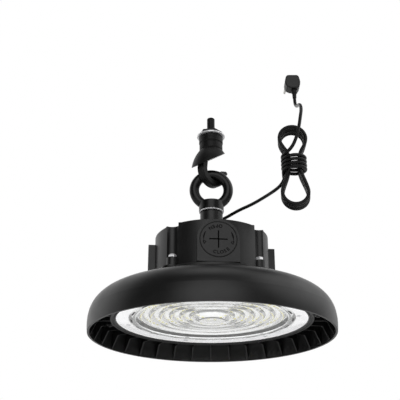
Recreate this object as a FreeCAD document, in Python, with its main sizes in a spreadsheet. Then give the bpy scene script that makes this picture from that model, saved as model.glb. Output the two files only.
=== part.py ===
"""High bay light that hangs from a hook under a beam, with its cord and plug.

Millimetres, +Z up. The origin is where the hook's stud meets the underside of the
beam. The light is drawn from its own rim plane (height 0) and hung below the beam
by hang_drop, so the heights in the sheet are heights above the rim.
"""
import FreeCAD
import Part

import math
import os

import Sketcher
from FreeCAD import Placement, Rotation, Vector

SIZES = {
    # hanging
    "hang_drop": 323.0,
    "stud_radius": 6.0,
    "root_radius": 7.0,
    "stud_above_beam": 25.0,
    # heat sink bell
    "bell_radius": 176.0,
    "bell_widest": 11.0,
    "rim_radius": 175.2,
    "side_arc": 76.0,
    "shoulder_arc": 40.0,
    "shoulder_radius": 174.5,
    "shoulder_height": 26.0,
    "deck_radius": 145.65,
    "deck_height": 56.74,
    "bell_wall": 3.0,
    "seat_radius": 98.0,
    "seat_height": 72.0,
    "seat_bore": 74.0,
    "pedestal_radius": 80.0,
    "hub_radius": 146.0,
    "hub_underside": 36.0,
    "hub_thickness": 6.0,
    "sill_outer": 139.0,
    "sill_inner": 118.0,
    "sill_bottom": 26.5,
    "fin_count": 36,
    "fin_thickness": 2.0,
    "fin_foot": 21.2,
    "fin_corner": 162.5,
    # driver housing
    "housing_turn": 5.7,
    "drum_radius": 83.0,
    "drum_top": 144.5,
    "drum_wall": 4.0,
    "flange_radius": 91.0,
    "flange_top": 80.0,
    "gasket_thickness": 2.0,
    "post_radius": 16.9,
    "post_top": 186.0,
    "channel_angle": 42.0,
    "channel_radius": 11.0,
    "channel_centre": 84.0,
    "channel_floor": 94.0,
    "screw_circle": 82.0,
    "lug_radius": 93.0,
    "lug_width": 9.0,
    "lug_top": 131.5,
    "boss_front": 83.5,
    "boss_back": 64.0,
    "boss_width": 59.0,
    "boss_bottom": 82.0,
    "port_height": 114.2,
    "cap_radius": 26.0,
    "cap_thickness": 3.3,
    "port_recess": 4.0,
    "port_bore": 20.05,
    "barrel_length": 10.0,
    "gland_offset": 50.0,
    "gland_thread": 6.0,
    # eye
    "eye_centre": 224.5,
    "eye_bar_radius": 7.4,
    "eye_ring_radius": 25.7,
    "eye_stud_radius": 5.0,
    "collar_radius": 18.7,
    "collar_bottom": 189.0,
    "collar_top": 203.0,
    # hook
    "nut_height": 6.0,
    "nut_corner_radius": 18.0,
    "nut_turn": -12.7,
    "washer_radius": 21.5,
    "washer_thickness": 2.0,
    "hook_turn": 44.0,
    "collar_wide": 18.5,
    "skirt_radius": 30.5,
    "skirt_slant": 33.6,
    "skirt_level": -46.5,
    "hook_outer": 25.5,
    "hook_inner": 13.4,
    "hook_rest": -81.1,
    "hook_bottom": -92.5,
    "bowl_centre": 0.8,
    "hook_bevel": 2.0,
    "hook_thickness": 13.0,
    "saddle_gap": 0.3,
    # light engine
    "lens_radius": 139.0,
    "lens_face": 22.0,
    "flange_thickness": 3.0,
    "lens_window": 105.0,
    "lens_floor": 29.0,
    "lens_back": 31.0,
    "ring_pitch": 14.36,
    "first_ring": 28.9,
    "ring_half_width": 4.1,
    "ridge_arc": 4.4,
    "lens_turn": 48.4,
    "lens_screw_circle": 123.0,
    "board_radius": 116.0,
    "board_thickness": 1.6,
    "pad_thickness": 0.5,
    "bezel_radius": 144.5,
    "bezel_opening": 136.0,
    "bezel_face": 20.0,
    "bezel_screw_circle": 149.5,
    # cord and plug
    "cord_radius": 2.5,
    "plug_width": 24.4,
    "plug_face": -10.0,
    "plug_depth": 18.0,
    "pin_radius": 2.0,
    "pin_spacing": 19.0,
    "pin_length": 19.0,
}


class Size:
    """A number together with the sheet expression that gives it."""

    def __init__(self, value, text):
        self.value = value
        self.text = text

    def join(self, sign, other, value):
        return Size(value, "(%s %s %s)" % (self.text, sign, text_of(other)))

    def __add__(self, other):
        return self.join("+", other, self.value + value_of(other))

    def __sub__(self, other):
        return self.join("-", other, self.value - value_of(other))

    def __mul__(self, other):
        return self.join("*", other, self.value * value_of(other))

    def __truediv__(self, other):
        return self.join("/", other, self.value / value_of(other))

    def __neg__(self):
        return Size(-self.value, "(-1 * %s)" % self.text)


def value_of(number):
    return number.value if isinstance(number, Size) else float(number)


def text_of(number):
    return number.text if isinstance(number, Size) else "%.6g" % number


class Driving:
    """The sheet's sizes as attributes, each a Size."""

    def __getattr__(self, alias):
        return Size(float(SIZES[alias]), "Dims." + alias)


D = Driving()
doc = FreeCAD.newDocument("high_bay_light")
sub_parts = []


def make_sheet():
    sheet = doc.addObject("Spreadsheet::Sheet", "Dims")
    for row, (alias, value) in enumerate(SIZES.items(), start=1):
        sheet.set("A%d" % row, alias)
        sheet.set("B%d" % row, str(value))
        sheet.setAlias("B%d" % row, alias)
    doc.recompute()


# ---------------------------------------------------------------- sketch helpers

def origin_item(body, role):
    return next(item for item in body.Origin.OriginFeatures if item.Role == role)


def new_body(name):
    body = doc.addObject("PartDesign::Body", name)
    body.Label = name
    sub_parts.append(body)
    return body


def new_sketch(body, plane, offset=0):
    """A sketch on one of the body's own planes, moved along that plane's normal."""
    sketch = body.newObject("Sketcher::SketchObject", "%s_sketch" % body.Label)
    sketch.AttachmentSupport = [(origin_item(body, plane + "_Plane"), "")]
    sketch.MapMode = "FlatFace"
    sketch.setExpression("AttachmentOffset.Base.z", text_of(offset))
    return sketch


def hold(sketch, kind, geometry, point, number):
    """One dimension on a point or a curve, bound to the sheet when it is a Size."""
    if kind in ("DistanceX", "DistanceY") and not isinstance(number, Size) and number == 0:
        axis = -2 if kind == "DistanceX" else -1
        sketch.addConstraint(Sketcher.Constraint("PointOnObject", geometry, point, axis))
        return
    if kind == "Radius":
        constraint = Sketcher.Constraint(kind, geometry, abs(value_of(number)))
    else:
        constraint = Sketcher.Constraint(kind, geometry, point, value_of(number))
    index = sketch.addConstraint(constraint)
    if isinstance(number, Size):
        sketch.setExpression("Constraints[%d]" % index, number.text)


def arc_between(start, end, radius, turn):
    """The short arc from start to end, turning left for turn 1 and right for turn -1."""
    chord = end - start
    rise = math.sqrt(max(radius ** 2 - (chord.Length / 2) ** 2, 0))
    normal = Vector(-chord.y, chord.x, 0).normalize()
    centre = (start + end) * 0.5 + normal * (rise * turn)
    circle = Part.Circle(centre, Vector(0, 0, 1), radius)
    first, last = (start, end) if turn > 0 else (end, start)
    angles = [math.atan2(p.y - centre.y, p.x - centre.x) for p in (first, last)]
    return Part.ArcOfCircle(circle, angles[0], angles[1])


def outline(sketch, corners):
    """A closed outline. A corner is (x, y), or (x, y, radius, turn) to leave it on an arc."""
    places = [Vector(value_of(c[0]), value_of(c[1]), 0) for c in corners]
    sides = []
    for number, corner in enumerate(corners):
        start, end = places[number], places[(number + 1) % len(corners)]
        if len(corner) == 4:
            side = arc_between(start, end, value_of(corner[2]), corner[3])
            ends = (1, 2) if corner[3] > 0 else (2, 1)
        else:
            side, ends = Part.LineSegment(start, end), (1, 2)
        sides.append((sketch.addGeometry(side), ends))
    for number, (side, ends) in enumerate(sides):
        following, next_ends = sides[(number + 1) % len(sides)]
        joint = Sketcher.Constraint("Coincident", side, ends[1], following, next_ends[0])
        sketch.addConstraint(joint)
    for (side, ends), corner in zip(sides, corners):
        hold(sketch, "DistanceX", side, ends[0], corner[0])
        hold(sketch, "DistanceY", side, ends[0], corner[1])
        if len(corner) == 4:
            hold(sketch, "Radius", side, 0, corner[2])


def circle(sketch, x, y, radius):
    centre = Vector(value_of(x), value_of(y), 0)
    shape = Part.Circle(centre, Vector(0, 0, 1), value_of(radius))
    index = sketch.addGeometry(shape)
    hold(sketch, "DistanceX", index, 3, x)
    hold(sketch, "DistanceY", index, 3, y)
    hold(sketch, "Radius", index, 0, radius)


def rectangle(sketch, low_x, low_y, high_x, high_y):
    outline(sketch, [(low_x, low_y), (high_x, low_y), (high_x, high_y), (low_x, high_y)])


def hexagon(sketch, x, y, corner_radius, turn=0):
    corners = []
    for number in range(6):
        angle = math.radians(60 * number + turn)
        corners.append((x + corner_radius * math.cos(angle), y + corner_radius * math.sin(angle)))
    outline(sketch, corners)


def at_angle(radius, degrees):
    """The x and y of a point on a circle about the axis."""
    angle = math.radians(degrees)
    return radius * math.cos(angle), radius * math.sin(angle)


# --------------------------------------------------------------- feature helpers

def revolve(body, sketch, cut=False, axis="V_Axis"):
    kind = "PartDesign::Groove" if cut else "PartDesign::Revolution"
    feature = body.newObject(kind, "turned")
    feature.Profile = sketch
    feature.ReferenceAxis = (sketch, [axis])
    feature.Angle = 360
    doc.recompute()
    return feature


def pad(body, sketch, length, midplane=False, back=False):
    feature = body.newObject("PartDesign::Pad", "pad")
    feature.Profile = sketch
    feature.Length = value_of(length)
    feature.setExpression("Length", text_of(length))
    if midplane:
        feature.SideType = "Symmetric"
    feature.Reversed = back
    doc.recompute()
    return feature


def pocket(body, sketch, length, back=False):
    """Cuts along the sketch plane's normal turned round, or with back along it."""
    before = body.Shape.Volume
    feature = body.newObject("PartDesign::Pocket", "pocket")
    feature.Profile = sketch
    feature.Length = value_of(length)
    feature.setExpression("Length", text_of(length))
    feature.Reversed = back
    doc.recompute()
    if body.Shape.Volume > before - 1e-3:
        raise RuntimeError("a pocket in %s cuts nothing" % body.Label)
    return feature


def around(body, features, count, angle=360):
    pattern = body.newObject("PartDesign::PolarPattern", "round")
    pattern.Originals = features
    pattern.Axis = (origin_item(body, "Z_Axis"), [""])
    pattern.Angle = angle
    pattern.Occurrences = int(value_of(count))
    if isinstance(count, Size):
        pattern.setExpression("Occurrences", count.text)
    body.Tip = pattern
    doc.recompute()
    return pattern


def soften(body, edges, radius, kind="Fillet"):
    """Rounds or bevels the edges whose middle point passes the test."""
    base = body.Tip
    names = []
    for number, edge in enumerate(base.Shape.Edges, start=1):
        middle = edge.valueAt((edge.FirstParameter + edge.LastParameter) / 2)
        if edges(middle, edge):
            names.append("Edge%d" % number)
    feature = body.newObject("PartDesign::" + kind, kind.lower())
    feature.Base = (base, names)
    size = "Radius" if kind == "Fillet" else "Size"
    setattr(feature, size, value_of(radius))
    feature.setExpression(size, text_of(radius))
    doc.recompute()
    return feature


def hang(body, turned=False, turn=None):
    """Places a sub-part drawn from the rim plane below the beam."""
    if turned:
        body.Placement = Placement(Vector(), Rotation(Vector(0, 0, 1), 1))
        body.setExpression("Placement.Rotation.Angle", text_of(turn or D.housing_turn))
    body.setExpression("Placement.Base.z", "-Dims.hang_drop")


def turned_ring(name, corners, turned=False):
    """A ring or disc: one closed outline of (radius, height), turned about the axis."""
    body = new_body(name)
    sketch = new_sketch(body, "XZ")
    outline(sketch, corners)
    revolve(body, sketch)
    hang(body, turned)
    return body


def disc_at(body, centres, radius, bottom, height):
    """Round bosses or holes' plugs: circles padded up from one height."""
    sketch = new_sketch(body, "XY", bottom)
    for x, y in centres:
        circle(sketch, x, y, radius)
    return pad(body, sketch, height)


def drill(body, centres, radius, bottom, depth):
    """Round holes from a height upwards."""
    sketch = new_sketch(body, "XY", bottom)
    for x, y in centres:
        circle(sketch, x, y, radius)
    return pocket(body, sketch, depth, back=True)


# ------------------------------------------------------------------- heat sink

def bell_side(wall, bottom):
    """The bell's curved side, a wall's depth inside its outer face, from rim to deck."""
    lean = math.radians(11.4)
    rise = math.radians(75.0)
    shoulder = (D.shoulder_radius - wall * math.cos(lean), D.shoulder_height - wall * math.sin(lean))
    deck = (D.deck_radius - wall * math.cos(rise), D.deck_height - wall * math.sin(rise))
    return [
        (D.rim_radius - wall, bottom, D.side_arc - wall, 1),
        shoulder + (D.shoulder_arc - wall, 1),
        deck,
    ]


def bell_side_inner(wall, bottom):
    """The same side from deck to rim."""
    rim, shoulder, deck = bell_side(wall, bottom)
    return [
        deck[:2] + (shoulder[2], -1),
        shoulder[:2] + (rim[2], -1),
        rim[:2],
    ]


BEZEL_LUG_ANGLES = (170.0, 350.0)
CHANNEL_ANGLES = (-42.0, -138.0, 42.0, 138.0)
LENS_SCREWS = 6


def lens_screw_places():
    return [at_angle(SIZES["lens_screw_circle"], SIZES["lens_turn"] + 60 * number)
            for number in range(LENS_SCREWS)]


def bezel_screw_places():
    return [at_angle(SIZES["bezel_screw_circle"], angle) for angle in BEZEL_LUG_ANGLES]


def housing_screw_places(turn=0.0):
    return [at_angle(SIZES["screw_circle"], angle + turn) for angle in CHANNEL_ANGLES]


def make_heat_sink():
    body = new_body("heat_sink")
    hub_top = D.hub_underside + D.hub_thickness
    sketch = new_sketch(body, "XZ")
    outline(sketch, bell_side(0, 0) + [
        (D.seat_radius, D.seat_height - 2.5),
        (D.seat_radius, D.seat_height),
        (D.seat_bore, D.seat_height),
        (D.seat_bore, hub_top),
        (0, hub_top),
        (0, D.hub_underside),
        (D.sill_inner, D.hub_underside),
        (D.sill_inner, D.sill_bottom),
        (D.sill_outer, D.sill_bottom),
        (D.sill_outer, D.hub_underside),
        (D.hub_radius, D.hub_underside),
        (D.hub_radius, hub_top),
        (D.pedestal_radius, hub_top),
        (D.pedestal_radius, D.seat_height - 5.0),
        (D.seat_radius, D.seat_height - 5.6),
    ] + bell_side_inner(D.bell_wall, 0))
    revolve(body, sketch)
    disc_at(body, bezel_screw_places(), 5.0, 24.0, 15.0)

    fin = new_sketch(body, "XZ")
    middle = D.bell_wall / 2
    outline(fin, [
        (D.pedestal_radius - 1.0, hub_top - 1.0),
        (D.hub_radius - 1.0, hub_top - 1.0),
        (D.hub_radius - 1.0, D.fin_foot),
        (D.fin_corner - 3.0, D.fin_foot, 4.0, -1),
        (D.fin_corner + 1.4, D.fin_foot - 2.8),
        (D.rim_radius - D.bell_wall + 0.4, 1.2),
    ] + [bell_side(middle, 1.2)[0]] + bell_side(middle, 1.2)[1:] + [
        (D.seat_radius, D.seat_height - 4.0),
        (D.pedestal_radius - 1.0, D.seat_height - 4.0),
    ])
    around(body, [pad(body, fin, D.fin_thickness, midplane=True)], D.fin_count)

    disc_at(body, housing_screw_places(SIZES["housing_turn"]), 6.5, hub_top - 1.0, 28.0)
    drill(body, bezel_screw_places(), 6.5, 18.0, 6.0)
    drill(body, bezel_screw_places(), 1.6, 23.0, 10.0)
    drill(body, lens_screw_places(), 1.5, D.sill_bottom, 8.0)
    drill(body, housing_screw_places(SIZES["housing_turn"]), 2.6, 50.0, 30.0)
    drill(body, [at_angle(40.0, 90.0)], 5.0, D.hub_underside - 1.0, 10.0)
    hang(body)


# -------------------------------------------------------------- driver housing

def make_driver_housing():
    body = new_body("driver_housing")
    bottom = D.seat_height + D.gasket_thickness
    roof = D.drum_top - D.drum_wall
    sketch = new_sketch(body, "XZ")
    outline(sketch, [
        (D.drum_radius - D.drum_wall, bottom),
        (D.flange_radius, bottom),
        (D.flange_radius, D.flange_top - 1.5),
        (D.flange_radius - 1.5, D.flange_top),
        (D.drum_radius, D.flange_top),
        (D.drum_radius, D.drum_top - 1.2),
        (D.drum_radius - 1.2, D.drum_top),
        (D.post_radius, D.drum_top),
        (D.post_radius, D.post_top - 1.0),
        (D.post_radius - 1.0, D.post_top),
        (D.eye_stud_radius + 0.1, D.post_top),
        (D.eye_stud_radius + 0.1, D.drum_top + 2.0),
        (0, D.drum_top + 2.0),
        (0, roof),
        (D.drum_radius - D.drum_wall, roof),
    ])
    revolve(body, sketch)

    # the walls of the four screw channels, then what of them stands out of the drum
    channels = [at_angle(SIZES["channel_centre"], angle) for angle in CHANNEL_ANGLES]
    disc_at(body, channels, D.channel_radius + 3.0, D.flange_top - 2.0,
            D.drum_top - D.flange_top + 2.0)
    trim = new_sketch(body, "XZ")
    rectangle(trim, D.drum_radius, D.flange_top, D.drum_radius + 20.0, D.drum_top + 5.0)
    revolve(body, trim, cut=True)
    channel = new_sketch(body, "XY", D.channel_floor)
    for x, y in channels:
        circle(channel, x, y, D.channel_radius)
    pocket(body, channel, D.drum_top - D.channel_floor + 1.0, back=True)
    disc_at(body, housing_screw_places(), 8.5, bottom, D.channel_floor - bottom)

    # side lugs
    for side in (1, -1):
        lug = new_sketch(body, "XY", bottom)
        inner = D.drum_radius - 2.0
        if side > 0:
            rectangle(lug, inner, -(D.lug_width / 2), D.lug_radius, D.lug_width / 2)
        else:
            rectangle(lug, -D.lug_radius, -(D.lug_width / 2), -inner, D.lug_width / 2)
        pad(body, lug, D.lug_top - bottom)

    # front boss, arched round the cap
    half = D.boss_width / 2
    boss = new_sketch(body, "XZ", D.boss_back)
    outline(boss, [
        (-half, D.boss_bottom),
        (half, D.boss_bottom),
        (half, D.port_height, half * 1.0001, 1),
        (0, D.port_height + half, half * 1.0001, 1),
        (-half, D.port_height),
    ])
    pad(body, boss, D.boss_front - D.boss_back)
    recess = new_sketch(body, "XZ", D.boss_front)
    circle(recess, 0, D.port_height, D.cap_radius + 0.35)
    pocket(body, recess, D.port_recess)
    bore = new_sketch(body, "XZ", D.boss_front)
    circle(bore, 0, D.port_height, D.port_bore)
    pocket(body, bore, D.boss_front - D.boss_back + 2.0)

    drill(body, housing_screw_places(), 3.3, bottom - 1.0, 40.0)
    drill(body, [(0, D.gland_offset)], D.gland_thread + 0.1, roof - 1.0, 10.0)
    hang(body, turned=True)


def make_port():
    """The screw cap, its seal and the socket that it covers, on the front boss."""
    front = D.boss_front + 0.3
    back = front - D.cap_thickness
    body = new_body("port_cap")
    face = new_sketch(body, "XZ", front)
    circle(face, 0, D.port_height, D.cap_radius)
    pad(body, face, D.cap_thickness, back=True)
    barrel = new_sketch(body, "XZ", back)
    circle(barrel, 0, D.port_height, D.port_bore - 0.05)
    circle(barrel, 0, D.port_height, D.port_bore - 3.0)
    pad(body, barrel, D.barrel_length, back=True)
    slot_half_length, slot_half_width = 12.8, 0.9
    for across, up in ((slot_half_length, slot_half_width), (slot_half_width, slot_half_length)):
        slot = new_sketch(body, "XZ", front)
        rectangle(slot, -across, D.port_height - up, across, D.port_height + up)
        pocket(body, slot, 1.6)
    soften(body, lambda p, edge: abs(p.y + value_of(front)) < 0.01 and edge.Length > 100, 0.5)
    hang(body, turned=True)

    seal = new_body("port_seal")
    ring = new_sketch(seal, "XZ", back)
    circle(ring, 0, D.port_height, D.cap_radius - 0.6)
    circle(ring, 0, D.port_height, D.port_bore + 0.6)
    pad(seal, ring, D.port_recess + 0.3 - D.cap_thickness, back=True)
    hang(seal, turned=True)

    socket = new_body("port_socket")
    flange = new_sketch(socket, "XZ", D.boss_back)
    circle(flange, 0, D.port_height, D.port_bore + 3.0)
    pad(socket, flange, 3.0, back=True)
    nose = new_sketch(socket, "XZ", D.boss_back)
    circle(nose, 0, D.port_height, 13.0)
    pad(socket, nose, 7.0)
    holes = new_sketch(socket, "XZ", D.boss_back + 7.0)
    for angle in (45, 135, 225, 315):
        x, y = at_angle(6.5, angle)
        circle(holes, x, D.port_height + y, 1.2)
    pocket(socket, holes, 5.0)
    hang(socket, turned=True)


def pan_screw(name, places, seat, head_radius, head_height, shank_radius, shank_length,
              upward, turned=False):
    """Pan head screws in a group, heads on the seat height, shanks up or down from it."""
    body = new_body(name)
    sign = 1 if upward else -1
    sketch = new_sketch(body, "XZ")
    crown = head_height * 0.55
    outline(sketch, [
        (0, seat - head_height * sign),
        (head_radius * 0.62, seat - head_height * sign),
        (head_radius, seat - (head_height - crown) * sign),
        (head_radius, seat),
        (shank_radius, seat),
        (shank_radius, seat + (shank_length - 0.6) * sign),
        (shank_radius - 0.5, seat + shank_length * sign),
        (0, seat + shank_length * sign),
    ])
    revolve(body, sketch)
    cross = new_sketch(body, "XY", seat - head_height * sign)
    arm, half = head_radius * 0.5, head_radius * 0.11
    outline(cross, [
        (-arm, -half), (-half, -half), (-half, -arm), (half, -arm), (half, -half), (arm, -half),
        (arm, half), (half, half), (half, arm), (-half, arm), (-half, half), (-arm, half),
    ])
    pocket(body, cross, head_height * 0.55, back=upward)
    doc.recompute()
    single = body.Shape.copy()
    sub_parts.remove(body)
    body.Label = name + "_single"
    group = doc.addObject("Part::Feature", name)
    group.Label = name
    copies = []
    for place in places:
        copy = single.copy()
        copy.Placement = Placement(Vector(place[0], place[1], 0), Rotation())
        copies.append(copy)
    group.Shape = Part.makeCompound(copies)
    group.Placement = Placement(
        Vector(0, 0, -SIZES["hang_drop"]),
        Rotation(Vector(0, 0, 1), SIZES["housing_turn"] if turned else 0))
    sub_parts.append(group)


def make_housing_fittings():
    gasket_bottom = D.seat_height
    gasket_top = D.seat_height + D.gasket_thickness
    gasket = turned_ring("housing_gasket", [
        (D.seat_bore + 1.0, gasket_bottom),
        (D.flange_radius - 1.0, gasket_bottom),
        (D.flange_radius - 1.0, gasket_top),
        (D.seat_bore + 1.0, gasket_top),
    ], turned=True)
    drill(gasket, housing_screw_places(), 3.3, D.seat_height - 1.0, 5.0)
    pan_screw("housing_screws", housing_screw_places(), SIZES["channel_floor"],
              head_radius=5.6, head_height=4.2, shank_radius=2.5, shank_length=40.0,
              upward=False, turned=True)


def make_gland():
    """Cable gland on the drum's roof, behind the post."""
    roof = D.drum_top - D.drum_wall
    y = value_of(D.gland_offset)

    gland = new_body("gland_body")
    disc_at(gland, [(0, D.gland_offset)], D.gland_thread, roof - 6.0, D.drum_wall + 6.0)
    hexed = new_sketch(gland, "XY", D.drum_top)
    hexagon(hexed, 0, y, 9.2)
    pad(gland, hexed, 5.0)
    disc_at(gland, [(0, D.gland_offset)], 6.4, D.drum_top + 5.0, 5.0)
    drill(gland, [(0, D.gland_offset)], 3.6, roof - 8.0, 40.0)
    hang(gland, turned=True)

    nut = new_body("gland_nut")
    wall = new_sketch(nut, "XY", D.drum_top + 5.0)
    hexagon(wall, 0, y, 9.0, turn=30)
    pad(nut, wall, 7.0)
    disc_at(nut, [(0, D.gland_offset)], 6.6, D.drum_top + 12.0, 3.0)
    drill(nut, [(0, D.gland_offset)], 6.5, D.drum_top + 4.0, 8.0)
    drill(nut, [(0, D.gland_offset)], 3.1, D.drum_top + 4.0, 20.0)
    hang(nut, turned=True)

    seal = new_body("gland_seal")
    disc_at(seal, [(0, D.gland_offset)], 5.9, D.drum_top + 10.0, 2.0)
    disc_at(seal, [(0, D.gland_offset)], 3.0, D.drum_top + 12.0, 2.5)
    drill(seal, [(0, D.gland_offset)], 1.6, D.drum_top + 8.0, 20.0)
    hang(seal, turned=True)

    locknut = new_body("gland_locknut")
    flats = new_sketch(locknut, "XY", roof - 3.5)
    hexagon(flats, 0, y, 9.4)
    pad(locknut, flats, 3.5)
    drill(locknut, [(0, D.gland_offset)], D.gland_thread + 0.05, roof - 5.0, 8.0)
    hang(locknut, turned=True)


# ---------------------------------------------------------------- driver board

BOARD_BOTTOM = 60.0
BOARD_TOP = 61.6


def make_driver():
    """The driver's board on four standoffs over the hub plate, and its main components."""
    hub_top = D.hub_underside + D.hub_thickness
    standoff_places = [at_angle(60.0, angle) for angle in (45, 135, 225, 315)]

    board = new_body("driver_board")
    disc_at(board, [(0, 0)], 70.0, BOARD_BOTTOM, BOARD_TOP - BOARD_BOTTOM)
    drill(board, standoff_places, 1.6, BOARD_BOTTOM - 1.0, 5.0)
    hang(board)

    standoffs = new_body("board_standoffs")
    sketch = new_sketch(standoffs, "XY", hub_top)
    for x, y in standoff_places:
        hexagon(sketch, x, y, 3.2)
    pad(standoffs, sketch, BOARD_BOTTOM - hub_top.value)
    hang(standoffs)

    transformer = new_body("transformer")
    core = new_sketch(transformer, "XY", BOARD_TOP)
    rectangle(core, -18.0, -12.0, 18.0, 12.0)
    pad(transformer, core, 22.0)
    coil = new_sketch(transformer, "XY", BOARD_TOP + 4.0)
    rectangle(coil, -12.0, -16.0, 12.0, 16.0)
    pad(transformer, coil, 14.0)
    hang(transformer)

    capacitors = new_body("capacitors")
    disc_at(capacitors, [(-38.0, 18.0), (-38.0, -4.0)], 9.0, BOARD_TOP, 32.0)
    hang(capacitors)

    choke = new_body("choke")
    disc_at(choke, [(38.0, 6.0)], 12.0, BOARD_TOP, 10.0)
    drill(choke, [(38.0, 6.0)], 5.0, BOARD_TOP - 1.0, 20.0)
    hang(choke)

    terminals = new_body("terminal_block")
    block = new_sketch(terminals, "XY", BOARD_TOP)
    rectangle(block, -15.0, 34.0, 15.0, 46.0)
    pad(terminals, block, 12.0)
    drill(terminals, [(-10.0, 40.0), (0.0, 40.0), (10.0, 40.0)], 2.0, BOARD_TOP + 4.0, 10.0)
    hang(terminals)


# ---------------------------------------------------------------- light engine

RING_COUNT = 6
PACKAGES_ON_FIRST_RING = 18
PACKAGES_ADDED_A_RING = 9


def ring_radius(number):
    return SIZES["first_ring"] + SIZES["ring_pitch"] * number


def make_lens():
    """Clear cover: a flange, a sloping wall, ring lenses over the LEDs and a centre boss."""
    body = new_body("lens")
    sketch = new_sketch(body, "XZ")
    half = D.ring_half_width
    under = [(0, 20.0), (19.5, 20.0)]
    for number in range(RING_COUNT):
        centre = D.first_ring + D.ring_pitch * number
        under += [(centre - half, D.lens_floor, D.ridge_arc, 1), (centre + half, D.lens_floor)]
    flange_back = D.lens_face + D.flange_thickness
    outline(sketch, under + [
        (D.lens_window, D.lens_floor),
        (D.lens_window + 3.0, D.lens_face),
        (D.lens_radius, D.lens_face),
        (D.lens_radius, flange_back),
        (D.lens_window + 7.0, flange_back),
        (D.lens_window + 4.0, D.lens_back),
        (22.0, D.lens_back),
        (17.5, 23.0),
        (0, 23.0),
    ])
    revolve(body, sketch)
    slot = new_sketch(body, "XY", D.lens_face)
    inner, outer, half_angle = 113.4, 116.2, 4.6
    outline(slot, [
        at_angle(inner, 18 - half_angle) + (inner, 1),
        at_angle(inner, 18 + half_angle),
        at_angle(outer, 18 + half_angle) + (outer, -1),
        at_angle(outer, 18 - half_angle),
    ])
    around(body, [pocket(body, slot, 1.4, back=True)], 18)
    drill(body, lens_screw_places(), 1.7, D.lens_face, 10.0)
    drill(body, lens_screw_places(), 3.6, D.lens_face, 1.2)
    hang(body)


def make_light_engine():
    flange_back = D.lens_face + D.flange_thickness
    gasket = turned_ring("lens_gasket", [
        (D.sill_inner + 0.5, flange_back),
        (D.sill_outer - 1.0, flange_back),
        (D.sill_outer - 1.0, D.sill_bottom),
        (D.sill_inner + 0.5, D.sill_bottom),
    ])
    drill(gasket, lens_screw_places(), 1.7, D.lens_face, 10.0)

    pad_bottom = D.hub_underside - D.pad_thickness
    board_bottom = pad_bottom - D.board_thickness
    thermal = new_body("thermal_pad")
    disc_at(thermal, [(0, 0)], D.board_radius - 1.0, pad_bottom, D.pad_thickness)
    drill(thermal, [at_angle(40.0, 90.0)], 5.0, pad_bottom - 1.0, 5.0)
    hang(thermal)

    board = new_body("led_board")
    disc_at(board, [(0, 0)], D.board_radius, board_bottom, D.board_thickness)
    drill(board, [at_angle(50.0, 90.0)], 2.0, board_bottom - 1.0, 5.0)
    hang(board)

    packages = doc.addObject("Part::Feature", "led_packages")
    packages.Label = "led_packages"
    height = 0.8
    boxes = []
    for ring in range(RING_COUNT):
        count = PACKAGES_ON_FIRST_RING + PACKAGES_ADDED_A_RING * ring
        for number in range(count):
            box = Part.makeBox(2.8, 3.5, height, Vector(-1.4, -1.75, 0))
            angle = 360.0 * number / count
            x, y = at_angle(ring_radius(ring), angle)
            box.Placement = Placement(Vector(x, y, board_bottom.value - height),
                                      Rotation(Vector(0, 0, 1), angle))
            boxes.append(box)
    packages.Shape = Part.makeCompound(boxes)
    packages.Placement = Placement(Vector(0, 0, -SIZES["hang_drop"]), Rotation())
    sub_parts.append(packages)

    make_lens()
    pan_screw("lens_screws", lens_screw_places(), SIZES["lens_face"] + 1.2, head_radius=3.0,
              head_height=1.8, shank_radius=1.4, shank_length=9.0, upward=True)

    bezel = turned_ring("bezel_ring", [
        (D.bezel_opening, D.bezel_face + 0.6),
        (D.bezel_opening + 0.6, D.bezel_face),
        (D.bezel_opening + 2.4, D.bezel_face),
        (D.bezel_opening + 3.0, D.bezel_face + 1.0),
        (D.bezel_opening + 4.6, D.bezel_face + 1.0),
        (D.bezel_opening + 5.2, D.bezel_face),
        (D.bezel_radius - 0.8, D.bezel_face),
        (D.bezel_radius, D.bezel_face + 0.8),
        (D.bezel_radius, D.hub_underside),
        (D.lens_radius + 0.3, D.hub_underside),
        (D.lens_radius + 0.3, D.lens_face),
        (D.bezel_opening, D.lens_face),
    ])
    disc_at(bezel, bezel_screw_places(), 5.2, 21.6, 2.4)
    for x, y in bezel_screw_places():
        neck = new_sketch(bezel, "XY", 21.6)
        away = SIZES["bezel_screw_circle"]
        along = Vector(x / away, y / away, 0)
        across = Vector(-along.y, along.x, 0)
        inner, outer = along * (value_of(D.bezel_radius) - 1.5), along * away
        ends = [inner - across * 5.2, outer - across * 5.2, outer + across * 5.2, inner + across * 5.2]
        outline(neck, [(end.x, end.y) for end in ends])
        pad(bezel, neck, 2.4)
    drill(bezel, bezel_screw_places(), 1.7, 21.0, 4.0)
    pan_screw("bezel_screws", bezel_screw_places(), 21.6, head_radius=3.2, head_height=2.0,
              shank_radius=1.45, shank_length=9.0, upward=True)


# ------------------------------------------------------------ eye, hook and nut

def primitive(kind, name, **sizes):
    """A Part primitive whose sizes are bound to the sheet."""
    item = doc.addObject("Part::" + kind, name)
    for key, number in sizes.items():
        setattr(item, key, number if isinstance(number, int) else value_of(number))
        item.setExpression(key, text_of(number))
    return item


def cylinder(name, radius, bottom, height):
    """A cylinder about the hanging axis; bottom is a height above the rim plane."""
    item = primitive("Cylinder", name, Radius=radius, Height=height)
    item.setExpression("Placement.Base.z", text_of(bottom - D.hang_drop))
    return item


def boolean(kind, name, base, *tools):
    if kind == "Cut":
        result = doc.addObject("Part::Cut", name)
        result.Base = base
        result.Tool = tools[0]
    else:
        result = doc.addObject("Part::MultiFuse", name)
        result.Shapes = [base] + list(tools)
    doc.recompute()
    return result


def finish(item, name):
    item.Label = name
    sub_parts.append(item)
    return item


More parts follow.
